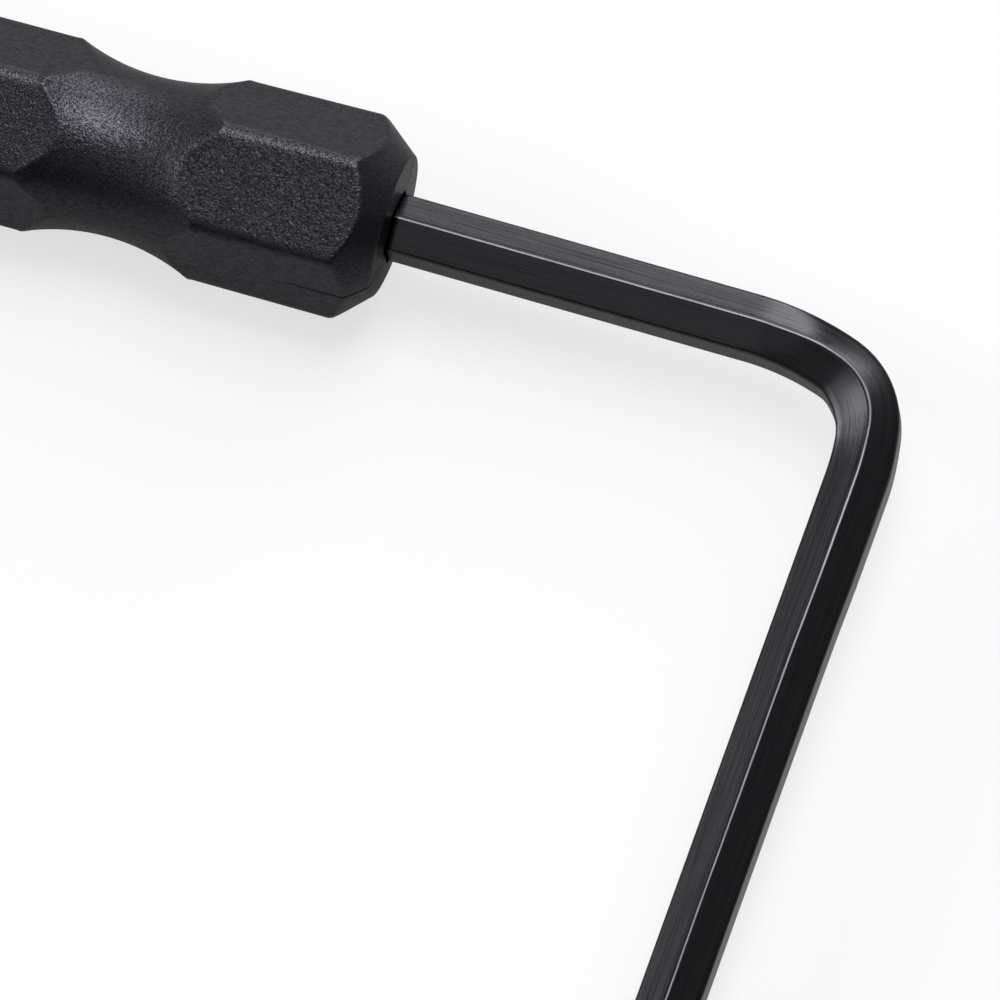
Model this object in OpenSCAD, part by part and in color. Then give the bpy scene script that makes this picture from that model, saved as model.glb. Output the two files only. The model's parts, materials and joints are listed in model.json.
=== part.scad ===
// L-shaped truss rod wrench: a bent hexagonal steel shank with a moulded plastic handle.
// It lies on Z = 0 as it comes to rest on a table, with its handle towards -X and its free arm
// towards -Y. It rests on the two ends of the handle and on the tip of the free arm.
// The origin is under the middle of the wrench.

/* [Shank] */
// Width across the flats of the hexagonal bar
hex_af = 5; // [4:0.5:6]
// How far the bar's six long edges are taken down from a sharp corner
edge_relief = 0.05; // [0.02:0.01:0.15]
// Free arm, from the corner where the two centre lines cross to the tip
reach = 130; // [110:5:150]
// Bare shank between that corner and the nose of the handle
neck = 42.2; // [40:0.1:60]
// Length of shank buried in the handle
embed = 62; // [50:1:75]
// Chamfer turned on both ends of the bar
tip_chamfer = 0.6; // [0.3:0.1:1]

/* [Bend] */
// Centre line radius where the bend begins, on the handle's side
lead_r = 24; // [16:1:30]
// Angle turned at that radius
lead_deg = 19; // [17:0.5:21]
// Centre line radius of the tight middle of the bend
tight_r = 6; // [5:0.5:9]
// Angle turned at that radius
tight_deg = 61.5; // [59:0.5:63]
// Centre line radius where the bend runs out into the free arm
exit_r = 22; // [16:1:30]
// Angle turned at that radius
exit_deg = 11; // [10:0.5:13]

/* [Handle] */
// Length of the handle
handle_len = 96; // [90:1:110]
// Radius of the flat nose face that the shank enters
nose_r = 5.9; // [5:0.1:6.5]
// Length of the cone behind the nose face
nose_len = 3.2; // [2:0.1:5]
// Radius over the corners at the front of the collar
collar_r = 8.45; // [8.4:0.05:9.5]
// Radius that the collar's slight taper would reach at the middle of the waist
collar_back_r = 8.25; // [8.2:0.05:8.3]
// Smallest radius of the waist, which is round
waist_r = 6.75; // [6:0.05:7]
// Radius of the hollow curve that forms the waist
waist_curve_r = 18; // [16:1:20]
// Distance from the nose face to the middle of the waist
waist_pos = 22; // [21:0.5:25]
// Radius over the corners of the long barrel behind the waist
barrel_r = 8.1; // [7.8:0.05:8.2]
// Radius of the domed butt
butt_dome_r = 15; // [12:1:30]
// Distance from axis to flat, as a share of the radius over the corners
flat_ratio = 0.89; // [0.88:0.005:0.92]
// How far the handle's flats are rolled from the plane of the L
roll_deg = 16; // [12:0.5:20]
// How far the handle was moulded askew, turned about the nose towards the free arm
askew_deg = 0.9; // [0:0.1:1.5]

/* [Mouth] */
// Gap left round the shank where it enters the nose
mouth_gap = 0.25; // [0.1:0.05:0.4]
// Depth of that gap
mouth_depth = 0.8; // [0.3:0.1:1.5]

/* [Hidden] */
$fn = 96;
// Step to which the coarse part of a computed position is rounded
grid = 0.01;
// The bend is fuller than the arms by join_step, and they run join_lap into it, so that all unite
join_step = 0.002;
join_lap = 0.02;

rod_color = [0.16, 0.16, 0.17];
grip_color = [0.08, 0.08, 0.09];

// Hexagon over its corners, before and after the edges are taken down
corner_r = hex_af / 2 / cos(30);
edge_r = corner_r - edge_relief;
tip_r = edge_r - tip_chamfer;

// Direction of the centre line after each stretch of the bend, turned clockwise from +X
turn_1 = lead_deg;
turn_2 = turn_1 + tight_deg;
turn_3 = turn_2 + exit_deg;

// Ends of the three stretches, counted from the start of the bend
x_1 = lead_r * sin(turn_1);
y_1 = lead_r * (cos(turn_1) - 1);
x_2 = x_1 + tight_r * (sin(turn_2) - sin(turn_1));
y_2 = y_1 + tight_r * (cos(turn_2) - cos(turn_1));
x_3 = x_2 + exit_r * (sin(turn_3) - sin(turn_2));
y_3 = y_2 + exit_r * (cos(turn_3) - cos(turn_2));

// Where the two centre lines cross, and what the bend takes up of each arm
free_setback = -y_3 / sin(turn_3);
neck_setback = x_3 - free_setback * cos(turn_3);
free_straight = reach - free_setback;
neck_straight = neck + embed - neck_setback;

// Distance from the handle's axis to its flats, and how far along it the full barrel reaches
collar_flat = flat_ratio * (collar_r + collar_back_r) / 2;
barrel_flat = flat_ratio * barrel_r;
barrel_end = handle_len - butt_dome_r + sqrt(pow(butt_dome_r, 2) - pow(barrel_r, 2));

// A point on the handle's underside: how far it is from the nose and from the axis, and its angle
// from straight down, towards the free arm
function underside(from_nose, radius, angle) = [
  -neck - from_nose * cos(askew_deg) + radius * sin(angle) * sin(askew_deg),
  -from_nose * sin(askew_deg) - radius * sin(angle) * cos(askew_deg),
  -radius * cos(angle)
];

// The three points that the wrench rests on: two corners of the handle and the tip of the free arm
collar_foot = underside(nose_len, collar_r, acos(collar_flat / collar_r) - roll_deg);
barrel_foot = underside(barrel_end, barrel_r, acos(barrel_flat / barrel_r) - roll_deg);
shoulder = reach - tip_chamfer;
tip_foot = [shoulder * cos(turn_3), -shoulder * sin(turn_3), -edge_r];

// Turns about X and then Y that bring the three to one level, and the height that this leaves
table = cross(tip_foot - collar_foot, barrel_foot - collar_foot);
tilt = atan(table.y / table.z);
level = -atan(table.x / table.z * cos(tilt));
lift = tip_foot.x * sin(level) - (tip_foot.y * sin(tilt) + tip_foot.z * cos(tilt)) * cos(level);

// Middle of the space that the wrench fills, seen from above, counted from the corner of the L
bend_x = x_2 + exit_r * (1 - sin(turn_2)) - neck_setback + join_step;
max_x = max(bend_x, reach * cos(turn_3)) + hex_af / 2;
min_x = -neck - (handle_len - butt_dome_r) * cos(askew_deg) - butt_dome_r;
side_deg = roll_deg - 30 + acos(collar_flat / collar_r);
side_y = collar_r * cos(side_deg) * cos(askew_deg) - nose_len * sin(askew_deg);
max_y = side_y * cos(tilt) - collar_r * sin(side_deg) * sin(tilt);
min_y = -reach * sin(turn_3) * cos(tilt) - tip_r * sin(tilt);
middle_x = (max_x + min_x) / 2;
middle_y = (max_y + min_y) / 2;

module place_at_rest() {
  translate([-middle_x, -middle_y, lift]) rotate([tilt, level, 0]) children();
}

// Moves in two steps, coarse then fine, so that pieces placed at computed points still meet exactly
module place(point) {
  coarse = [grid * round(point.x / grid), grid * round(point.y / grid), 0];
  translate(coarse) translate([point.x - coarse.x, point.y - coarse.y, 0]) children();
}

// The bar's section: two of its flats face along X, and two of its corners point along Y
module bar_section(extra = 0) {
  flat = hex_af / 2 + extra;
  corner = corner_r + extra / cos(30);
  intersection() {
    polygon([
      [flat, -corner / 2],
      [flat, corner / 2],
      [0, corner],
      [-flat, corner / 2],
      [-flat, -corner / 2],
      [0, -corner]
    ]);
    circle(r = edge_r + extra);
  }
}

// A straight length of bar that runs from the origin in the given direction, with a chamfered far end
module straight_bar(length, turn) {
  rotate([90, 0, 90 - turn])
    intersection() {
      translate([0, 0, -join_lap]) linear_extrude(length + join_lap) bar_section();
      rotate_extrude()
        polygon([
          [0, -join_lap],
          [corner_r, -join_lap],
          [corner_r, length - corner_r + tip_r],
          [tip_r, length],
          [0, length]
        ]);
    }
}

// One stretch of the bend, from direction a to direction b, starting at the given point
module bend_arc(start, radius, a, b) {
  place([start.x - radius * sin(a), start.y - radius * cos(a)])
    rotate_extrude(start = 90 - b, angle = b - a)
      translate([radius, 0]) bar_section(join_step);
}

// The arm that enters the handle
module handle_arm() {
  translate([-neck_setback, 0, 0]) straight_bar(neck_straight, 180);
}

// Half section of the handle's turned form, from the nose face at 0 to the butt
module handle_profile() {
  intersection() {
    difference() {
      polygon([
        [0, 0],
        [nose_r, 0],
        [collar_r, nose_len],
        [collar_back_r, waist_pos],
        [barrel_r, waist_pos],
        [barrel_r, handle_len],
        [0, handle_len]
      ]);
      translate([waist_r + waist_curve_r, waist_pos]) circle(r = waist_curve_r);
    }
    union() {
      square([2 * collar_r, handle_len - butt_dome_r]);
      translate([0, handle_len - butt_dome_r]) circle(r = butt_dome_r);
    }
  }
}

// Six flats round the collar, and six a little closer in along the barrel
module handle_flats() {
  rotate(30) {
    cylinder(r = collar_flat / cos(30), h = waist_pos, $fn = 6);
    translate([0, 0, waist_pos])
      cylinder(r = barrel_flat / cos(30), h = handle_len - waist_pos, $fn = 6);
  }
}

// Hexagonal relief, half of it inside the nose, that leaves a gap round the shank there
module mouth() {
  translate([-neck, 0, 0])
    rotate([90, 0, -90])
      rotate(30)
        cylinder(r = corner_r + mouth_gap / cos(30), h = 2 * mouth_depth, center = true, $fn = 6);
}

module hex_rod() {
  color(rod_color)
    place_at_rest() {
      handle_arm();
      translate([-neck_setback, 0, 0]) {
        bend_arc([0, 0], lead_r, 0, turn_1);
        bend_arc([x_1, y_1], tight_r, turn_1, turn_2);
        bend_arc([x_2, y_2], exit_r, turn_2, turn_3);
        place([x_3, y_3]) straight_bar(free_straight, turn_3);
      }
    }
}

module handle() {
  color(grip_color)
    place_at_rest()
      difference() {
        translate([-neck, 0, 0])
          rotate([roll_deg, 0, askew_deg])
            rotate([0, -90, 0])
              intersection() {
                rotate_extrude() handle_profile();
                handle_flats();
              }
        handle_arm();
        mouth();
      }
}

hex_rod();
handle();
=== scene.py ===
# %% [markdown]
# # A truss rod wrench with a moulded handle
#
# The wrench is two pieces: a length of black hexagonal steel bar, bent once, and a black plastic
# handle moulded onto one end of it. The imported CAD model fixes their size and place. Here both
# pieces are modelled again with the soft edges, seam lines and surface grain that a CAD solid
# leaves out, and each new piece stands for its CAD node.

# %% Load the frame
import json
import math

import bmesh
import bpy
from mathutils import Euler, Matrix, Vector

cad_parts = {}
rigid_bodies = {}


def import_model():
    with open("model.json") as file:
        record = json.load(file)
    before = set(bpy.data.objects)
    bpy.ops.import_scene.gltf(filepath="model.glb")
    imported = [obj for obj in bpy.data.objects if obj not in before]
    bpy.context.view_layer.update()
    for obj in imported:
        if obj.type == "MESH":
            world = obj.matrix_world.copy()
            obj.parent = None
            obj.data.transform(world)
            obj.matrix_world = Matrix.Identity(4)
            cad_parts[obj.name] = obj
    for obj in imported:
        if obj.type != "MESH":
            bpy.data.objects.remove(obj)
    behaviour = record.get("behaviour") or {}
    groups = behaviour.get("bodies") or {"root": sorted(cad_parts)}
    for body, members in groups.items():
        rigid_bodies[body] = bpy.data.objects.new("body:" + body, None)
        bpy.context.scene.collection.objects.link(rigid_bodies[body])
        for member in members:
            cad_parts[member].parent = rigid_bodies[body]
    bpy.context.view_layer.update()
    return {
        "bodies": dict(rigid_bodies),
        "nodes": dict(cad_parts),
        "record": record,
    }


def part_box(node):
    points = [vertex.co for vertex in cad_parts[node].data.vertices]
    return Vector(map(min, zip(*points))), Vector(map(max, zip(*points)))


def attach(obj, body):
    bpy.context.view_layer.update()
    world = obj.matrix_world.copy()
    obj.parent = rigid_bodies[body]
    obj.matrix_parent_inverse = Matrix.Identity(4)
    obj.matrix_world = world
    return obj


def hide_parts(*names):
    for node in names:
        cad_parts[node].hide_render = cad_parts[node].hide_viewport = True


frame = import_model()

print("CAD nodes", sorted(frame["nodes"]))

# %% [markdown]
# ## The bent bar as numbers
#
# A bar like this is bent cold round a former, and it springs back unevenly, so the real bend is no
# single arc. It starts gently, turns most of the corner tightly, and runs out gently again. Three
# arcs that meet tangentially describe it well. The centre line is one function of the length along
# the bar, which lets the bar be made straight first and bent afterwards, as the real one is.
# All modelling is in millimetres, and one matrix at the end takes it to metres.

# %% Centre line of the bar
across_flats = 5.0
corner_radius = across_flats / 2 / math.cos(math.radians(30))
edge_relief = 0.05
edge_radius = corner_radius - edge_relief
reach, neck, embed = 130.0, 42.2, 62.0
tip_chamfer = 0.6
bend_stretches = [(24.0, 19.0), (6.0, 61.5), (22.0, 11.0)]


def centre_line(along):
    """Place and heading of the bar's middle. along is counted from the start of the bend."""
    x, y, heading = min(along, 0.0), 0.0, 0.0
    left = max(along, 0.0)
    for radius, degrees in bend_stretches:
        turn = min(left / radius, math.radians(degrees))
        x += radius * (math.sin(heading + turn) - math.sin(heading))
        y += radius * (math.cos(heading + turn) - math.cos(heading))
        heading += turn
        left = max(left - radius * turn, 0.0)
    return Vector((x + left * math.cos(heading), y - left * math.sin(heading), 0)), heading


bend_length = sum(radius * math.radians(degrees) for radius, degrees in bend_stretches)
bend_end, arm_heading = centre_line(bend_length)
arm_setback = -bend_end.y / math.sin(arm_heading)
neck_setback = bend_end.x - arm_setback * math.cos(arm_heading)
bar_start = neck_setback - neck - embed
bar_end = bend_length + reach - arm_setback
print(f"bend {bend_length:.2f} mm long, turns {math.degrees(arm_heading):.1f} degrees,"
      f" bar {bar_end - bar_start:.1f} mm")

# %% [markdown]
# ## The L's own frame
#
# The wrench is modelled in a frame of its own, with its origin where the two arms' centre lines
# cross, the handle towards -X and the free arm towards -Y. Each piece is shaped along its own Z
# first, where its section is easy to write down, and one matrix then lays it into the L. The handle
# was moulded onto the bar with its flats rolled 16 degrees and its axis nearly a degree askew.

# %% The handle's main sizes, and both pieces' places in the L
handle_length, nose_length = 96.0, 3.2
collar_radius, collar_back_radius = 8.45, 8.25
barrel_radius, butt_dome = 8.1, 15.0
flat_share = 0.89
collar_flat = flat_share * (collar_radius + collar_back_radius) / 2
barrel_flat = flat_share * barrel_radius
handle_roll, handle_askew = math.radians(16), math.radians(0.9)

shank_to_corner = Matrix.Translation((-neck, 0, 0)) @ Matrix.Rotation(math.radians(-90), 4, "Y")
handle_to_corner = (
    Matrix.Translation((-neck, 0, 0))
    @ Matrix.Rotation(handle_askew, 4, "Z")
    @ Matrix.Rotation(handle_roll, 4, "X")
    @ Matrix.Rotation(math.radians(-90), 4, "Y")
)


def round_axis(radius, angle, depth):
    """A point of the handle: angle 0 is the middle of the upper grained flat, depth is from the nose."""
    return Vector((radius * math.cos(angle), -radius * math.sin(angle), depth))


print("the handle's flats lie", round(collar_flat, 2), "and", round(barrel_flat, 2), "mm from its axis")

# %% [markdown]
# ## How the wrench lies
#
# Put down on a table, the wrench rests on three points: a corner of the handle's collar, a corner
# of its barrel, and the tip of the free arm. It could be dropped in a simulation, but the plane
# through the three points gives the tilt exactly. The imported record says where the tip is, so
# nothing is placed by eye.

# %% From the L's frame to the table
MM = 0.001


def handle_foot(radius, flat, depth):
    """The corner of the lowest flat at that depth, in the L's frame."""
    return handle_to_corner @ round_axis(radius, math.pi - math.acos(flat / radius), depth)


barrel_end = handle_length - butt_dome + math.sqrt(butt_dome**2 - barrel_radius**2)
arm_direction = Vector((math.cos(arm_heading), -math.sin(arm_heading), 0))
tip_foot = arm_direction * (reach - tip_chamfer) - Vector((0, 0, edge_radius))
collar_foot = handle_foot(collar_radius, collar_flat, nose_length)
barrel_foot = handle_foot(barrel_radius, barrel_flat, barrel_end)
table = (tip_foot - collar_foot).cross(barrel_foot - collar_foot)
tilt = math.atan(table.y / table.z)
level = -math.atan(table.x / table.z * math.cos(tilt))
turn_to_table = Euler((tilt, level, 0)).to_matrix()

tip_mount = next(m for m in frame["record"]["mounts"] if m["name"] == "tip_face")
corner_place = Vector(tip_mount["pos_m"]) / MM - turn_to_table @ (arm_direction * reach)
corner_to_world = (
    Matrix.Scale(MM, 4) @ Matrix.Translation(corner_place) @ turn_to_table.to_4x4()
)
print(f"tilt {math.degrees(tilt):.3f}, level {math.degrees(level):.3f} degrees,"
      f" corner at {[round(c, 3) for c in corner_place]} mm")

# %% [markdown]
# ## Growing a tube ring by ring
#
# Both pieces are long tubes whose section hardly changes, so both start as one ring of edges. The
# ring is extruded a step at a time, and the steps are short where the shape curves and long where
# it is straight. That keeps every face a clean quad, which bends and shades without pinching.

# %% Helpers that extrude a ring, sweep it, and space its steps
def spaced(start, end, step):
    """Stations from start, without it, to end, with it, about a step apart."""
    count = max(1, round(abs(end - start) / step))
    return [start + (end - start) * (i + 1) / count for i in range(count)]


def extrude_ring(bm, ring):
    """Extrudes an open ring of edges in place and returns the new points and the new ring."""
    made = bmesh.ops.extrude_edge_only(bm, edges=ring)["geom"]
    verts = {part for part in made if isinstance(part, bmesh.types.BMVert)}
    edges = [part for part in made if isinstance(part, bmesh.types.BMEdge)]
    return verts, [edge for edge in edges if verts.issuperset(edge.verts)]


def sweep(bm, ring, stations):
    """Extrudes a ring that lies at the first station through the others. Returns the last ring."""
    for start, end in zip(stations, stations[1:]):
        verts, ring = extrude_ring(bm, ring)
        bmesh.ops.translate(bm, verts=list(verts), vec=(0, 0, end - start))
    return ring


print("steps over a 1 mm stretch:", [round(s, 2) for s in spaced(0, 1, 0.25)])

# %% [markdown]
# ## The shank, made straight
#
# Hexagonal tool steel is drawn through a die, which leaves flat sides, long faint lines and corners
# with a radius of about 0.4 mm. A six-sided circle with its corners bevelled is that section. Its
# rings lie close together where the bend will be, because each of them takes its own turn there.

# %% Section and straight bar
corner_rounding = 0.23
corner_segments = 5
flat_cuts = 7
straight_step, chamfer_step = 4.0, 0.06
widest_bend_step, bend_step_share = 0.16, 0.02
end_stretch = 1.0

shank = bmesh.new()
bmesh.ops.create_circle(shank, cap_ends=False, segments=6, radius=corner_radius)
bmesh.ops.bevel(
    shank, geom=shank.verts[:], offset=corner_rounding, segments=corner_segments,
    profile=0.5, affect="VERTICES", material=-1,
)
long_flats = [edge for edge in shank.edges if edge.calc_length() > across_flats / 4]
bmesh.ops.subdivide_edges(shank, edges=long_flats, cuts=flat_cuts)
bmesh.ops.translate(shank, verts=shank.verts[:], vec=(0, 0, bar_start))

stations = [bar_start]
stations += spaced(stations[-1], bar_start + end_stretch, chamfer_step)
stations += spaced(stations[-1], 0, straight_step)
for radius, degrees in bend_stretches:
    stretch_end = stations[-1] + radius * math.radians(degrees)
    bend_step = min(widest_bend_step, radius * bend_step_share)
    stations += spaced(stations[-1], stretch_end, bend_step)
stations += spaced(stations[-1], bar_end - end_stretch, straight_step)
stations += spaced(stations[-1], bar_end, chamfer_step)
start_ring = shank.edges[:]
end_ring = sweep(shank, start_ring, stations)
bmesh.ops.edgeloop_fill(shank, edges=start_ring)
bmesh.ops.edgeloop_fill(shank, edges=end_ring)
print(len(stations), "rings,", len(shank.faces), "faces on the straight bar")

# %% [markdown]
# ## Chamfered ends
#
# The cut ends of such a bar are chamfered on a lathe, so that the tip finds its way into the nut.
# A bevel would cut each flat straight across. A turned chamfer is part of a cone, so here a rule
# does it: near an end, no point may be further from the axis than the cone allows. That gives each
# flat its curved end.

# %% Turned chamfers
tip_radius = edge_radius - tip_chamfer
for vert in shank.verts:
    to_end = min(vert.co.z - bar_start, bar_end - vert.co.z)
    from_axis = vert.co.xy.length
    allowed = tip_radius + to_end
    if from_axis > allowed:
        vert.co.xy *= allowed / from_axis
print(f"end faces {2 * tip_radius:.2f} mm across")

# %% [markdown]
# ## Steel that gives in the bend
#
# In a bend this tight the section doesn't stay a true hexagon. The inside is squeezed and bulges,
# the ridges on top and below are drawn towards the outside, and the outside stays full past the
# tightest place. A lattice could do it, but a formula says it more plainly: each of the three is a
# smooth hump along the bar, and a point takes its share of them by its place across the section.

# %% How far the bend pushes each point
ridge_draws = [(0.28, (2, 7, 10, 17)), (0.13, (10, 17, 26, 36))]
inside_bulge, inside_stretch = -0.21, (7.5, 11, 12.5, 15.5)
outside_fullness, outside_stretch = 0.11, (14, 19, 25, 33)


def hump(along, rise, full_from, full_to, fall):
    """0 up to rise, 1 from full_from to full_to, 0 again after fall, with smooth slopes."""
    share = min((along - rise) / (full_from - rise), (fall - along) / (fall - full_to))
    share = min(max(share, 0.0), 1.0)
    return share * share * (3 - 2 * share)


def squeeze(across, along):
    """How far the bend pushes a point of the section outwards, in mm."""
    side = across / (across_flats / 2)
    ridge = sum(draw * hump(along, *stretch) for draw, stretch in ridge_draws)
    inside = inside_bulge * hump(along, *inside_stretch)
    outside = outside_fullness * hump(along, *outside_stretch)
    return ridge * (1 - side**2) + inside * side * (side - 1) / 2 + outside * side * (side + 1) / 2


print(f"12 mm along, the inside bulges {-squeeze(-across_flats / 2, 12):.2f} mm inwards"
      f" and the ridges move {squeeze(0, 12):.2f} mm outwards")

# %% [markdown]
# ## Bending the bar
#
# Before the bend, each point's straight place is stored in an attribute of the mesh. The material
# reads it, so the drawn lines run along the bar and round the bend, as on the real one. Then each
# point moves onto the curved centre line. The section's +X side becomes the outside of the bend.

# %% Bend
drawn = shank.verts.layers.float_vector.new("drawn")
for vert in shank.verts:
    vert[drawn] = vert.co
    across, up, along = vert.co
    across += squeeze(across, along)
    middle, heading = centre_line(along)
    outward = Vector((math.sin(heading), math.cos(heading), 0))
    vert.co = middle + outward * across + Vector((-neck_setback, 0, up))
bmesh.ops.transform(shank, matrix=corner_to_world, verts=shank.verts)
bmesh.ops.recalc_face_normals(shank, faces=shank.faces)
print("shank bent through", round(math.degrees(arm_heading), 1), "degrees")

# %% [markdown]
# ## From mesh to piece
#
# A finished mesh becomes an object that rides on the wrench's one body and stands for its CAD node.
# The helper prints how far the piece stays inside that node's box. A negative number is how far it
# stands proud, as the full outside of the bend does by a tenth of a millimetre. On the shank, the
# long sides shade smoothly and the end faces stay flat. Face weighted normals then give each flat
# its own plain direction, so that only the narrow corners look round.

# %% The helper, and the shank
body = next(iter(frame["bodies"]))


def make_piece(bm, name, node):
    """Turns the finished bmesh into a piece that stands for a CAD node."""
    mesh = bpy.data.meshes.new(name)
    bm.to_mesh(mesh)
    bm.free()
    piece = bpy.data.objects.new(name, mesh)
    bpy.context.scene.collection.objects.link(piece)
    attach(piece, body)
    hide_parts(node)
    low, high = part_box(node)
    corners = [Vector(corner) for corner in piece.bound_box]
    gap_low = min(min(c[i] for c in corners) - low[i] for i in range(3)) / MM
    gap_high = min(high[i] - max(c[i] for c in corners) for i in range(3)) / MM
    print(f"{name}: {len(mesh.polygons)} faces, inside its CAD box by {gap_low:.3f}"
          f" and {gap_high:.3f} mm")
    return piece


for face in shank.faces:
    face.smooth = len(face.verts) == 4
for edge in shank.edges:
    edge.smooth = all(face.smooth for face in edge.link_faces)
shank_piece = make_piece(shank, "hex_shank", "hex_rod")
weighted = shank_piece.modifiers.new("flat_sides_stay_flat", "WEIGHTED_NORMAL")
weighted.keep_sharp = True
weighted.weight = 100

# %% [markdown]
# ## The handle's form
#
# The mould for such a handle starts as a turned form: a cone at the nose, a collar, a hollow waist
# for the finger and thumb, and a long barrel with a domed butt. It could be built from cylinders
# and booleans, but those leave long thin faces. One formula for the radius at each place is
# simpler, and it starts here with what the lathe leaves in front of and behind the waist.

# %% The turned form
nose_radius, rim_rounding = 5.9, 0.12
waist_middle = 22.0
cone_softness, butt_softness = 0.25, 1.2
cone_slope = (collar_radius - nose_radius) / nose_length


def soft_least(a, b, softness):
    """The smaller of two lengths, with the corner where they cross rounded off."""
    near = max(softness - abs(a - b), 0.0) / softness
    return min(a, b) - near * near * softness / 4


def turned_end(depth):
    """Cone and collar in front of the waist, barrel and dome behind it, before the flats."""
    if depth > waist_middle:
        past_centre = max(depth - handle_length + butt_dome, 0.0)
        dome = math.sqrt(max(butt_dome**2 - past_centre**2, 0.0))
        return soft_least(barrel_radius, dome, butt_softness)
    cone = nose_radius + cone_slope * depth
    if depth < rim_rounding:
        lean = math.atan(cone_slope)
        start = nose_radius - rim_rounding * (math.cos(lean) - cone_slope * (1 - math.sin(lean)))
        short = rim_rounding - max(depth, 0.0)
        cone = min(cone, start + math.sqrt(rim_rounding**2 - short**2))
    taper = (depth - nose_length) / (waist_middle - nose_length)
    collar = collar_radius + (collar_back_radius - collar_radius) * taper
    return soft_least(cone, collar, cone_softness)


print("turned radius at 1, 10 and 40 mm:", [round(turned_end(d), 2) for d in (1, 10, 40)])

# %% [markdown]
# ## Flats and waist
#
# Six flats are cut along the turned form, so it is left only where it is smaller than the hexagon:
# at the cone and in six narrow lands between the flats. The waist is cut last and leaves a crisper
# edge with a slight lip. On the real handle its hollow is a little uneven from side to side, so its
# middle and its curve change with the angle. The finished radius is the smallest of all these, with
# the corners between them softened.

# %% The finished radius
waist_radius, waist_curve = 6.75, 17.5
waist_offset, waist_lean, waist_lift = 0.2, 0.4, 0.25
curve_by_side, curve_by_flat = 2.5, 3.0
land_softness, waist_softness = 0.15, 0.08
lip_height, lip_width, lip_offset = 0.035, 0.11, 0.04


def waist_at(angle, depth):
    """The hollow of the waist, a little longer under the flats than under the lands."""
    middle = waist_middle + waist_offset + waist_lean * math.sin(angle) + waist_lift * math.cos(angle)
    curve = (
        waist_curve + curve_by_side * math.cos(angle)**2 + curve_by_flat * math.cos(3 * angle)**2
    )
    reach_out = min(abs(depth - middle), curve)
    return waist_radius + curve - math.sqrt(curve**2 - reach_out**2)


def flat_at(angle, depth):
    """How far the nearest flat lets the surface reach in that direction."""
    sixth = math.radians(60)
    from_flat_middle = angle - sixth * round(angle / sixth)
    return (collar_flat if depth < waist_middle else barrel_flat) / math.cos(from_flat_middle)


def handle_radius(angle, depth):
    """The radius of the finished form."""
    prism = soft_least(turned_end(depth), flat_at(angle, depth), land_softness)
    waist = waist_at(angle, depth)
    lip = lip_height * math.exp(-((prism - waist + lip_offset) / lip_width)**2)
    return soft_least(prism, waist, waist_softness) + lip


print("radius on the flat and on the land at 10 mm:",
      [round(handle_radius(math.radians(a), 10), 2) for a in (0, 30)])

# %% [markdown]
# ## Skin of the handle
#
# A ring of points is swept from nose to butt and then moved to that radius. The rings lie close
# where the flats end in curves, at the cone and the waist, and wide along the barrel. At two angles
# five columns lie very close together, because a mould's parting line will be pressed in there:
# where the halves of the mould meet, the plastic shows a line as fine as a hair.

# %% Columns, rings and skin
even_columns = 240
seam_angles = [math.radians(-92), math.radians(62)]
seam_half, seam_shoulder = 0.04, 0.1
seam_clearance = 1.6 * seam_shoulder
rim_turns = (0, 17, 34, 51.5)
ring_stretches = [(4.4, 0.12), (13.6, 0.6), (18.6, 0.12), (25, 0.4), (31, 0.12), (91, 1.5)]
dome_step, dome_end = math.radians(1.6), math.radians(89)


def column_angles():
    """Angles of the columns round the handle: even ones, and five close together at each seam."""
    step = 2 * math.pi / even_columns
    angles = [step * (i - even_columns // 2) for i in range(even_columns)]
    for seam in seam_angles:
        angles = [a for a in angles if abs(a - seam) > seam_clearance / collar_radius]
        for across in (-seam_shoulder, -seam_half, 0, seam_half, seam_shoulder):
            angles.append(seam + across / collar_radius)
    return sorted(angles)


def angle_of(place):
    """The angle round the handle at which a point lies, as round_axis takes it."""
    return math.atan2(-place.y, place.x)


columns = column_angles()
handle = bmesh.new()
bmesh.ops.create_circle(handle, cap_ends=False, segments=len(columns), radius=1)
handle.verts.ensure_lookup_table()
for vert, angle in zip(handle.verts, columns):
    vert.co = round_axis(1, angle, 0)
nose_ring = handle.edges[:]

stations = [rim_rounding * (1 - math.cos(math.radians(turn))) for turn in rim_turns]
for end, step in ring_stretches:
    stations += spaced(stations[-1], end, step)
dome_start = math.asin((stations[-1] - handle_length + butt_dome) / butt_dome)
for turn in spaced(dome_start, dome_end, dome_step):
    stations.append(handle_length - butt_dome + butt_dome * math.sin(turn))
butt_ring = sweep(handle, nose_ring, stations)
bmesh.ops.edgeloop_fill(handle, edges=butt_ring)
for vert in handle.verts:
    vert.co.xy *= handle_radius(angle_of(vert.co), vert.co.z)
print(len(columns), "columns and", len(stations), "rings")

# %% [markdown]
# ## Nose, mouth and bore
#
# The nose ends in a flat face. The plastic doesn't quite reach the steel there: a shallow hexagonal
# relief leaves a dark gap, and behind it the plastic grips the bar along a bore that follows the
# hexagon. The bore lies along the shank, and the handle was moulded a degree askew to it. The skin's
# first ring is extruded inwards to make all this, so the handle stays one closed surface.

# %% Face, relief and bore
face_radii = (5.6, 5.2, 4.7, 4.2, 3.8)
mouth_gap, mouth_depth = 0.28, 0.8
bore_gap, bore_extra = 0.01, 0.1
askew_fix = handle_to_corner.inverted() @ shank_to_corner


def hexagon_radius(angle, flat):
    """Distance from the bar's axis to a hexagon round it, angle 0 being straight up."""
    sixth = math.radians(60)
    turned = angle - math.radians(30)
    return flat / math.cos(turned - sixth * round(turned / sixth))


def inner_ring(ring, place):
    """Extrudes the ring and moves each new point to place(its angle round the handle)."""
    verts, ring = extrude_ring(handle, ring)
    for vert in verts:
        vert.co = place(angle_of(vert.co))
    return ring


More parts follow.
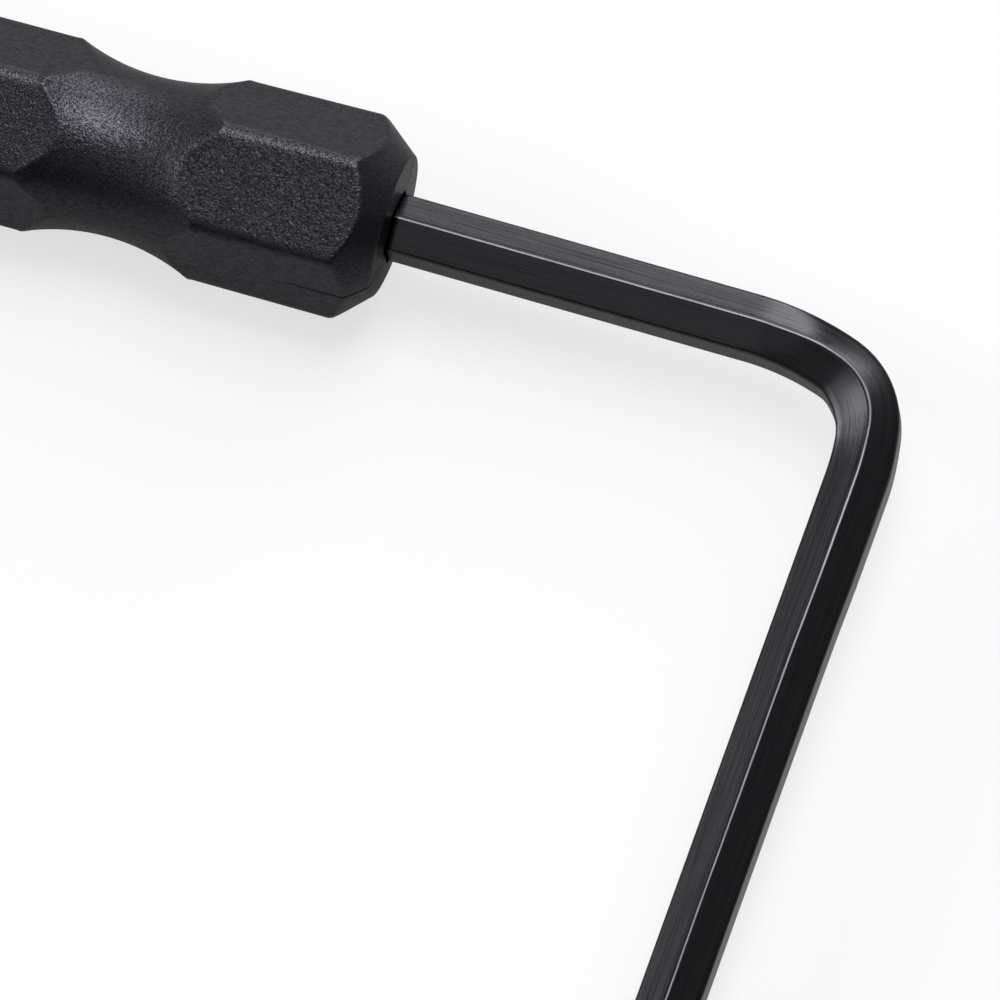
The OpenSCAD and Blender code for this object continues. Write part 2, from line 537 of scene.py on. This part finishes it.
def hexagon_place(gap, depth):
    """A rule for inner_ring: a hexagon round the bar with that gap, at that depth."""
    def place(angle):
        radius = hexagon_radius(angle + handle_roll, across_flats / 2 + gap)
        return askew_fix @ round_axis(radius, angle + handle_roll, depth)
    return place


ring = nose_ring
for radius in face_radii:
    ring = inner_ring(ring, lambda angle: round_axis(radius, angle, 0))
mouth_ring = inner_ring(ring, hexagon_place(mouth_gap, 0))
floor_ring = inner_ring(mouth_ring, hexagon_place(mouth_gap, mouth_depth))
bore_ring = inner_ring(floor_ring, hexagon_place(bore_gap, mouth_depth))
bore_end = inner_ring(bore_ring, hexagon_place(bore_gap, embed + bore_extra))
bmesh.ops.edgeloop_fill(handle, edges=bore_end)
bmesh.ops.recalc_face_normals(handle, faces=handle.faces)
for edge in mouth_ring + floor_ring + bore_ring + bore_end:
    edge.smooth = False
print("mouth relief", mouth_gap, "mm wide and", mouth_depth, "mm deep")

# %% [markdown]
# ## Parting lines
#
# A parting line is deepest at the nose, where the plastic flows last, and fades along the collar.
# It could be a bump in the material, but then it would vanish at the outline. Here the columns
# beside each seam angle move about a tenth of a millimetre against their own normals.

# %% Seams
seam_depth = 0.12
seam_fade_start, seam_fade_end = 3.0, 8.5
mouth_reach = 3.7


def ramp(value, start, end):
    """0 at start, 1 at end, straight between and level outside."""
    return min(max((value - start) / (end - start), 0.0), 1.0)


def seam_press(angle, depth):
    """How far the surface is pressed in at a parting line."""
    nearest = min(abs(angle - seam) for seam in seam_angles) * collar_radius
    across = ramp(nearest, seam_shoulder, 0.0)
    return seam_depth * across * ramp(depth, seam_fade_end, seam_fade_start)


handle.normal_update()
moves = []
for vert in handle.verts:
    press = seam_press(angle_of(vert.co), vert.co.z)
    if press > 0 and vert.co.xy.length > mouth_reach:
        moves.append((vert, vert.normal * press))
for vert, move in moves:
    vert.co -= move
print(len(moves), "points pressed in at the seams")

# %% [markdown]
# ## Where the grain lies
#
# Every other flat is spark-eroded in the mould and comes out finely grained, with the land on one
# side of it. The rest is smooth. The grain reaches further round in the hollow of the waist, and it
# is fainter on the cone. A mask could be painted, but a number from 0 to 1 at each point follows
# the form exactly. The point's place is stored beside it, for the patterns to read.

# %% Grain mask and moulded coordinates
grain_from, grain_to = -34, 28.5
grain_fade_in, grain_fade_out = 2, 1.5
waist_spread, spread_stretch = 18, (17, 22, 27.5, 30)
cone_end, cone_grain = 4, 0.4
cone_fade = 0.1
third = math.radians(120)

moulded = handle.verts.layers.float_vector.new("moulded")
grained = handle.verts.layers.float.new("grained")
for vert in handle.verts:
    vert[moulded] = vert.co
    angle, depth = angle_of(vert.co), vert.co.z
    off_middle = math.degrees(angle - third * round(angle / third))
    near_edge = grain_from - waist_spread * hump(depth, *spread_stretch)
    on_sector = ramp(off_middle, near_edge, near_edge + grain_fade_in)
    on_sector *= ramp(off_middle, grain_to, grain_to - grain_fade_out)
    past_cone = ramp(turned_end(depth) - flat_at(angle, depth), -cone_fade, 0.0)
    vert[grained] = on_sector * (max(past_cone, cone_grain) if depth < cone_end else 1.0)
grained_points = sum(vert[grained] > 0.5 for vert in handle.verts)
print(grained_points, "of", len(handle.verts), "points are grained")

# %% [markdown]
# ## The nose that falls back
#
# The nose face isn't quite square to the handle: it falls back by half a millimetre on the side
# towards the free arm. The nose could be cut off at an angle, but that would leave a hard edge. The
# mouth stays where it is instead, and each point between the mouth and the collar takes a share
# that fades towards both. Then the handle is finished, and one matrix takes it to its place.

# %% Falling back, and the handle as a piece
fall_back, fall_back_angle = 0.5, math.radians(110)
fall_back_spread, fall_back_from = 1.5, 2.9
for vert in handle.verts:
    angle, depth = angle_of(vert.co), vert.co.z
    if depth < nose_length:
        facing = ((1 + math.cos(angle - fall_back_angle)) / 2)**fall_back_spread
        outwards = ramp(vert.co.xy.length, fall_back_from, nose_radius)
        vert.co.z += fall_back * facing * (1 - depth / nose_length) * outwards
bmesh.ops.transform(handle, matrix=corner_to_world @ handle_to_corner, verts=handle.verts)
for face in handle.faces:
    face.smooth = True
handle_piece = make_piece(handle, "moulded_handle", "handle")

# %% [markdown]
# ## Colours and nodes
#
# Colours are written as sRGB hex codes, the way a colour picker shows them, and one function turns
# them into the linear values that the shader works with. One small function adds a node, sets its
# settings and fills or links its sockets.

# %% Helpers for materials
def colour(hex_code):
    """An sRGB hex code as linear red, green, blue and alpha."""
    channels = [int(hex_code[i:i + 2], 16) / 255 for i in (1, 3, 5)]
    linear = [c / 12.92 if c <= 0.04045 else ((c + 0.055) / 1.055) ** 2.4 for c in channels]
    return (*linear, 1.0)


def add_node(tree, kind, sockets=(), **settings):
    """Adds a node with its settings, and sets or links its input sockets."""
    node = tree.nodes.new(kind)
    for name, value in settings.items():
        setattr(node, name, value)
    for name, value in dict(sockets).items():
        if isinstance(value, bpy.types.NodeSocket):
            tree.links.new(value, node.inputs[name])
        else:
            node.inputs[name].default_value = value
    return node


def new_material(name):
    """An empty material with an output, and its node tree."""
    material = bpy.data.materials.new(name)
    material.use_nodes = True
    material.node_tree.nodes.clear()
    output = material.node_tree.nodes.new("ShaderNodeOutputMaterial")
    return material, material.node_tree, output


print("mid grey, linear:", round(colour("#808080")[0], 3))

# %% [markdown]
# ## Drawn steel: the lines
#
# The bar is drawn tool steel, blackened in a hot oxide bath. The oxide is a thin skin that follows
# the metal, so the die's fine lines still run along every flat. They could be anisotropy in the
# shader, but at this size single streaks can be seen, so they are noise that is stretched along the
# bar's straight shape: about 0.2 mm wide, which is a little coarser than real, and 8 mm long.

# %% Steel: streaks and a slight relief
lines_per_mm = (5.0, 5.0, 0.12)
line_depth = 0.02
line_low, line_high = 0.3, 0.7

steel, tree, output = new_material("black_oxide_drawn_steel")
straight = add_node(tree, "ShaderNodeAttribute", attribute_name="drawn")
line_scale = add_node(
    tree, "ShaderNodeVectorMath", {0: straight.outputs["Vector"], 1: lines_per_mm},
    operation="MULTIPLY",
)
lines = add_node(
    tree, "ShaderNodeTexNoise",
    {"Vector": line_scale.outputs[0], "Scale": 1.0, "Detail": 4.0, "Roughness": 0.6},
)
bump = add_node(
    tree, "ShaderNodeBump",
    {"Height": lines.outputs["Fac"], "Strength": 0.5, "Distance": line_depth * MM},
)
streak = add_node(
    tree, "ShaderNodeMapRange",
    {"Value": lines.outputs["Fac"], "From Min": line_low, "From Max": line_high},
)
print("a line is about", 1 / lines_per_mm[0], "mm wide")

# %% [markdown]
# ## Drawn steel: what handling and bending change
#
# Handling rubs the oxide thin on the long corners first, so they shine. They do so along the neck,
# but less and less along the free arm, which hands seldom touch. In the tight part of the bend the
# steel was strained, which leaves it duller, and its corners keep most of their oxide. Each of
# these is one value from 0 to 1, read from how far along the bar and from its axis a point lies.

# %% Steel: rubbed corners and the strained bend
worn_from, worn_fully = 2.775, 2.825
strain_middle, strain_from, strain_fully = 12.0, 6.5, 2.0
bend_rub = 0.25
arm_rub_full, arm_rub_end = 18.0, 42.0

parts = add_node(tree, "ShaderNodeSeparateXYZ", {0: straight.outputs["Vector"]})
flat_part = add_node(tree, "ShaderNodeCombineXYZ", {0: parts.outputs[0], 1: parts.outputs[1]})
from_axis = add_node(
    tree, "ShaderNodeVectorMath", {0: flat_part.outputs[0]}, operation="LENGTH",
)
worn = add_node(
    tree, "ShaderNodeMapRange",
    {"Value": from_axis.outputs["Value"], "From Min": worn_from, "From Max": worn_fully},
)
off_bend = add_node(
    tree, "ShaderNodeMath", {0: parts.outputs[2], 1: -strain_middle}, operation="ADD",
)
bend_distance = add_node(tree, "ShaderNodeMath", {0: off_bend.outputs[0]}, operation="ABSOLUTE")
strained = add_node(
    tree, "ShaderNodeMapRange",
    {"Value": bend_distance.outputs[0], "From Min": strain_from, "From Max": strain_fully},
    interpolation_type="SMOOTHSTEP",
)
rubbed_in_bend = add_node(
    tree, "ShaderNodeMapRange",
    {"Value": strained.outputs[0], "To Min": 1.0, "To Max": bend_rub},
)
rubbed_on_arm = add_node(
    tree, "ShaderNodeMapRange",
    {"Value": parts.outputs[2], "From Min": arm_rub_full, "From Max": arm_rub_end,
     "To Min": 1.0, "To Max": 0.0},
)
handled = add_node(
    tree, "ShaderNodeMath", {0: rubbed_in_bend.outputs[0], 1: rubbed_on_arm.outputs[0]},
    operation="MULTIPLY",
)
rubbed_share = add_node(
    tree, "ShaderNodeMath", {0: worn.outputs[0], 1: handled.outputs[0]}, operation="MULTIPLY",
)
print("steel is strained from", strain_middle - strain_from, "to", strain_middle + strain_from, "mm")

# %% [markdown]
# ## Drawn steel: colour and shine
#
# Blackened steel is still a metal to the eye: it has hardly any colour of its own and shows a dark,
# satin mirror of the room. So the shader is fully metallic with a dark base colour, a little
# lighter on the streaks and the rubbed corners. Where the bar leaves the handle, a hair's breadth
# of it is painted darker still: painted shade for the shadow in the handle's mouth.

# %% Steel: colour, roughness and shader
# The last of these colours is painted shade for the bar's start in the handle's mouth.
dark_oxide, light_oxide, rubbed_oxide, mouth_shade = "#343337", "#424144", "#504f53", "#0c0b0c"
nose_along = neck_setback - neck
mouth_shade_from, mouth_shade_fully = nose_along + 0.5, nose_along + 0.1
smooth_line, rough_line, bend_dulling = 0.11, 0.2, 0.09

oxide = add_node(
    tree, "ShaderNodeMix",
    {"Factor": streak.outputs[0], "A": colour(dark_oxide), "B": colour(light_oxide)},
    data_type="RGBA",
)
rubbed = add_node(
    tree, "ShaderNodeMix",
    {"Factor": rubbed_share.outputs[0], "A": oxide.outputs["Result"], "B": colour(rubbed_oxide)},
    data_type="RGBA",
)
# Painted shade: the bar is darkened over its first half millimetre out of the handle's mouth.
mouth_shaded = add_node(
    tree, "ShaderNodeMapRange",
    {"Value": parts.outputs[2], "From Min": mouth_shade_from, "From Max": mouth_shade_fully},
)
steel_colour = add_node(
    tree, "ShaderNodeMix",
    {"Factor": mouth_shaded.outputs[0], "A": rubbed.outputs["Result"], "B": colour(mouth_shade)},
    data_type="RGBA",
)
line_roughness = add_node(
    tree, "ShaderNodeMapRange",
    {"Value": lines.outputs["Fac"], "From Min": line_low, "From Max": line_high,
     "To Min": smooth_line, "To Max": rough_line},
)
roughness = add_node(
    tree, "ShaderNodeMath",
    {0: strained.outputs[0], 1: bend_dulling, 2: line_roughness.outputs[0]},
    operation="MULTIPLY_ADD",
)
shader = add_node(
    tree, "ShaderNodeBsdfPrincipled",
    {"Base Color": steel_colour.outputs["Result"], "Metallic": 1.0,
     "Roughness": roughness.outputs[0], "Normal": bump.outputs[0]},
)
tree.links.new(shader.outputs[0], output.inputs["Surface"])
shank_piece.data.materials.append(steel)
print(steel.name, "has", len(tree.nodes), "nodes")

# %% [markdown]
# ## Moulded plastic: the grain
#
# The handle is a tough black plastic such as glass-filled nylon or polypropylene. Its grained flats
# copy a spark-eroded mould: a fine grain about 0.16 mm wide lies over soft wrinkles of about half a
# millimetre, which stops the hand from slipping. Displacement would need millions of faces, so both
# are a bump. The height is made to average nothing before the mask scales it, because otherwise
# the mask's edge would show as a step.

# %% Plastic: grain and wrinkles
grain_mm, wrinkle_mm = 0.16, 0.5
grain_depth = 0.04
wrinkle_share = 1.3
middle_height = (1 + wrinkle_share) / 2

plastic, tree, output = new_material("black_moulded_plastic")
place = add_node(tree, "ShaderNodeAttribute", attribute_name="moulded")
mask = add_node(tree, "ShaderNodeAttribute", attribute_name="grained")
grain = add_node(
    tree, "ShaderNodeTexNoise",
    {"Vector": place.outputs["Vector"], "Scale": 1 / grain_mm, "Detail": 2.0, "Roughness": 0.6},
)
wrinkles = add_node(
    tree, "ShaderNodeTexNoise",
    {"Vector": place.outputs["Vector"], "Scale": 1 / wrinkle_mm, "Detail": 2.0, "Distortion": 0.6},
)
relief = add_node(
    tree, "ShaderNodeMath",
    {0: wrinkles.outputs["Fac"], 1: wrinkle_share, 2: grain.outputs["Fac"]},
    operation="MULTIPLY_ADD",
)
centred = add_node(
    tree, "ShaderNodeMath", {0: relief.outputs[0], 1: -middle_height}, operation="ADD",
)
grain_height = add_node(
    tree, "ShaderNodeMath", {0: centred.outputs[0], 1: mask.outputs["Fac"]},
    operation="MULTIPLY",
)
grain_bump = add_node(
    tree, "ShaderNodeBump",
    {"Height": grain_height.outputs[0], "Strength": 1.0, "Distance": grain_depth * MM},
)
print("grain", grain_mm, "mm wide over wrinkles of", wrinkle_mm, "mm")

# %% [markdown]
# ## Moulded plastic: the sheen
#
# The smooth flats copy a stoned mould and have a soft satin sheen, with faint marks where the
# plastic flowed along the handle. The marks are drawn about 0.2 by 0.45 mm, coarser than real ones,
# so that they show. On the grained flats the pits hold less of the sheen than the grains between
# them, which breaks the light into specks. That is the specular level, and not a painted colour,
# so it only shows where light is reflected.

# %% Plastic: satin marks, gloss and shader
carbon_black, cool_sheen = "#100f12", "#f2ecff"
satin_marks_per_mm = (5.0, 5.0, 2.2)
satin_depth = 0.02
satin_roughness, grained_roughness = 0.38, 0.28
grain_low, grain_high = 0.36, 0.64
satin_low, satin_high = 0.35, 0.65
sheen_in_pits, sheen_on_grains = 0.16, 1.0
least_satin_sheen, most_satin_sheen = 0.26, 0.9

flow = add_node(
    tree, "ShaderNodeVectorMath", {0: place.outputs["Vector"], 1: satin_marks_per_mm},
    operation="MULTIPLY",
)
satin = add_node(
    tree, "ShaderNodeTexNoise",
    {"Vector": flow.outputs[0], "Scale": 1.0, "Detail": 5.0, "Roughness": 0.65},
)
satin_bump = add_node(
    tree, "ShaderNodeBump",
    {"Height": satin.outputs["Fac"], "Strength": 0.5, "Distance": satin_depth * MM,
     "Normal": grain_bump.outputs[0]},
)
gloss = add_node(
    tree, "ShaderNodeMapRange",
    {"Value": mask.outputs["Fac"], "To Min": satin_roughness, "To Max": grained_roughness},
)
pit_sheen = add_node(
    tree, "ShaderNodeMapRange",
    {"Value": grain.outputs["Fac"], "From Min": grain_low, "From Max": grain_high,
     "To Min": sheen_in_pits, "To Max": sheen_on_grains},
)
satin_sheen = add_node(
    tree, "ShaderNodeMapRange",
    {"Value": satin.outputs["Fac"], "From Min": satin_low, "From Max": satin_high,
     "To Min": least_satin_sheen, "To Max": most_satin_sheen},
)
sheen_level = add_node(
    tree, "ShaderNodeMix",
    {"Factor": mask.outputs["Fac"], "A": satin_sheen.outputs[0], "B": pit_sheen.outputs[0]},
    data_type="FLOAT",
)
shader = add_node(
    tree, "ShaderNodeBsdfPrincipled",
    {"Base Color": colour(carbon_black), "Roughness": gloss.outputs[0], "IOR": 1.5,
     "Specular IOR Level": sheen_level.outputs["Result"], "Specular Tint": colour(cool_sheen),
     "Normal": satin_bump.outputs[0]},
)
tree.links.new(shader.outputs[0], output.inputs["Surface"])
handle_piece.data.materials.append(plastic)
print(plastic.name, "has", len(tree.nodes), "nodes")

# %% [markdown]
# ## Floor
#
# The floor is a sheet of matt studio paper, far larger than the wrench. Most of its white comes
# from a glow that the camera sees, and mirror-like reflections see a weaker one, so it looks evenly
# lit without any more light on the wrench. The rest is a plain matt grey, which takes the lamps'
# light and keeps the wrench's soft shadow.

# %% Floor and backdrop
floor_half = 12.0
camera_glow, reflected_glow = 0.68, 0.09
lit_grey = "#8e8e8e"


def light_paths(tree):
    """Two values: 1 for rays from the camera, and 1 for mirrored and transmitted rays."""
    rays = add_node(tree, "ShaderNodeLightPath")
    mirrored = add_node(
        tree, "ShaderNodeMath",
        {0: rays.outputs["Is Glossy Ray"], 1: rays.outputs["Is Transmission Ray"]},
        operation="MAXIMUM",
    )
    return rays.outputs["Is Camera Ray"], mirrored.outputs[0]


floor_bm = bmesh.new()
bmesh.ops.create_grid(floor_bm, x_segments=1, y_segments=1, size=floor_half)
floor_mesh = bpy.data.meshes.new("floor")
floor_bm.to_mesh(floor_mesh)
floor_bm.free()
floor = bpy.data.objects.new("floor", floor_mesh)
bpy.context.scene.collection.objects.link(floor)

paper, tree, output = new_material("white_paper")
from_camera, mirrored = light_paths(tree)
mirrored_glow = add_node(
    tree, "ShaderNodeMath", {0: mirrored, 1: reflected_glow}, operation="MULTIPLY",
)
glow = add_node(
    tree, "ShaderNodeMath", {0: from_camera, 1: camera_glow, 2: mirrored_glow.outputs[0]},
    operation="MULTIPLY_ADD",
)
shine = add_node(tree, "ShaderNodeEmission", {"Strength": glow.outputs[0]})
paint = add_node(tree, "ShaderNodeBsdfDiffuse", {"Color": colour(lit_grey)})
both = add_node(tree, "ShaderNodeAddShader", {0: shine.outputs[0], 1: paint.outputs[0]})
tree.links.new(both.outputs[0], output.inputs["Surface"])
floor_mesh.materials.append(paper)
print("floor", 2 * floor_half, "m wide")

# %% [markdown]
# ## Studio
#
# Round the wrench stands a dim room. It is lightest overhead, behind and to the left, and dark in
# front and on the right, which gives black things their shape. The camera sees a white backdrop
# instead wherever it looks past the floor, and so do mirror-like reflections that look low enough
# to meet it.

# %% World
lightest_side = (-0.41, 0.55, 0.73)
room_dark, room_light = 0.02, 0.54
dark_until = -0.3
backdrop_white, backdrop_top = "#fcfcfc", 0.02

world = bpy.data.worlds.new("studio")
world.use_nodes = True
bpy.context.scene.world = world
tree = world.node_tree
tree.nodes.clear()
direction = add_node(tree, "ShaderNodeTexCoord")
towards = add_node(
    tree, "ShaderNodeVectorMath",
    {0: direction.outputs["Generated"], 1: lightest_side}, operation="DOT_PRODUCT",
)
room = add_node(
    tree, "ShaderNodeMapRange",
    {"Value": towards.outputs["Value"], "From Min": dark_until, "From Max": 1.0,
     "To Min": room_dark, "To Max": room_light},
)
heights = add_node(tree, "ShaderNodeSeparateXYZ", {0: direction.outputs["Generated"]})
low = add_node(
    tree, "ShaderNodeMapRange",
    {"Value": heights.outputs["Z"], "From Min": backdrop_top, "From Max": 0.0},
)
from_camera, mirrored = light_paths(tree)
low_mirrored = add_node(
    tree, "ShaderNodeMath", {0: mirrored, 1: low.outputs[0]}, operation="MULTIPLY",
)
backdrop = add_node(
    tree, "ShaderNodeMath", {0: from_camera, 1: low_mirrored.outputs[0]}, operation="MAXIMUM",
)
room_colour = add_node(
    tree, "ShaderNodeCombineXYZ",
    {0: room.outputs[0], 1: room.outputs[0], 2: room.outputs[0]},
)
seen = add_node(
    tree, "ShaderNodeMix",
    {"Factor": backdrop.outputs[0], "A": room_colour.outputs[0], "B": colour(backdrop_white)},
    data_type="RGBA",
)
shine = add_node(tree, "ShaderNodeBackground", {"Color": seen.outputs["Result"]})
add_node(tree, "ShaderNodeOutputWorld", {"Surface": shine.outputs[0]})
print(len(tree.nodes), "nodes in the world")

# %% [markdown]
# ## Light
#
# Black glossy things are lit by what they reflect, so the place and size of each soft box matter
# more than its power. A large box overhead gives the sheen of all that faces up. The ones behind
# light the outer flat of the neck and the start of the bend. The inner flat turns past the row at
# the left as the bar bends, which draws the gleam in the bend and lights the free arm. A faint box
# in front keeps the inner flat of the neck from going black. A box's strength is how bright it
# looks, where 1 is white, and its power follows from its area.

# %% Lamps
lamp_distance = 3.0
lit_middle = Vector((40, 40, 8)) * MM


def direction_to(azimuth, elevation):
    """A unit vector. Azimuth is from +Y towards +X, and both angles are in degrees."""
    turned, raised = math.radians(azimuth), math.radians(elevation)
    level_part = Vector((math.sin(turned), math.cos(turned), 0)) * math.cos(raised)
    return level_part + Vector((0, 0, math.sin(raised)))


def soft_box(name, azimuth, elevation, wide, high, strength):
    """An area lamp facing the wrench. All four angles are in degrees, as seen from the wrench."""
    lamp = bpy.data.lights.new(name, "AREA")
    lamp.shape = "RECTANGLE"
    lamp.size = 2 * lamp_distance * math.tan(math.radians(wide / 2))
    lamp.size_y = 2 * lamp_distance * math.tan(math.radians(high / 2))
    lamp.energy = strength * lamp.size * lamp.size_y * math.pi
    box = bpy.data.objects.new(name, lamp)
    away = direction_to(azimuth, elevation)
    box.location = lit_middle + away * lamp_distance
    box.rotation_euler = away.to_track_quat("Z", "Y").to_euler()
    bpy.context.scene.collection.objects.link(box)
    print(f"{name}: {lamp.energy:.1f} W, {lamp.size:.2f} by {lamp.size_y:.2f} m")


soft_box("overhead", 7, 74, 26.5, 30, 7.2)
soft_box("left_box", -101.5, 28.5, 20, 20.5, 4.9)
soft_box("left_low", -87.5, 18, 12, 12, 13.8)
soft_box("left_wing", -116, 41, 16.5, 5.5, 2.8)
soft_box("back_box", -10.5, 13, 13, 8, 2.3)
soft_box("back_strip", -4.5, 14, 4, 13.5, 5.0)
soft_box("back_right", 14, 23, 17.5, 9.5, 4.7)
soft_box("back_high", 11.5, 37.5, 37.5, 29, 1.7)
soft_box("front_fill", -168.5, 45.5, 10, 12.5, 0.45)
soft_box("left_edge", -70.5, 16, 14, 12, 0.65)

# %% [markdown]
# ## Camera
#
# A long lens from far away keeps the hexagon's edges nearly parallel. The camera looks steeply down
# at the bare neck and the bend, with the handle and the free arm running out of the view, and it is
# rolled a little, so that the neck slopes across.

# %% Camera
view_azimuth, view_elevation, view_roll = -28.11, 70.05, -10.64
view_distance, lens = 1.59217, 720
aim = Vector((40.9, 41.42, 8.0)) * MM

camera_data = bpy.data.cameras.new("camera")
camera_data.lens = lens
camera_data.sensor_width = 36
camera_data.clip_start, camera_data.clip_end = 0.1, 100
camera = bpy.data.objects.new("camera", camera_data)
forward = direction_to(view_azimuth, -view_elevation)
upright = forward.to_track_quat("-Z", "Y").to_matrix().to_4x4()
rolled = Matrix.Rotation(math.radians(view_roll), 4, "Z")
camera.matrix_world = Matrix.Translation(aim - forward * view_distance) @ upright @ rolled
bpy.context.scene.collection.objects.link(camera)
bpy.context.scene.camera = camera
bpy.context.scene.view_settings.view_transform = "Standard"
print("camera at", [round(c, 3) for c in camera.location])

# %% [markdown]
# ## Sizes
#
# A model that has grown past its CAD box would no longer fit the imported part. The helper that
# made each piece has printed its margin inside that box, and here the scene is updated once more.

# %% Sizes, and the scene updated once more
bpy.context.view_layer.update()
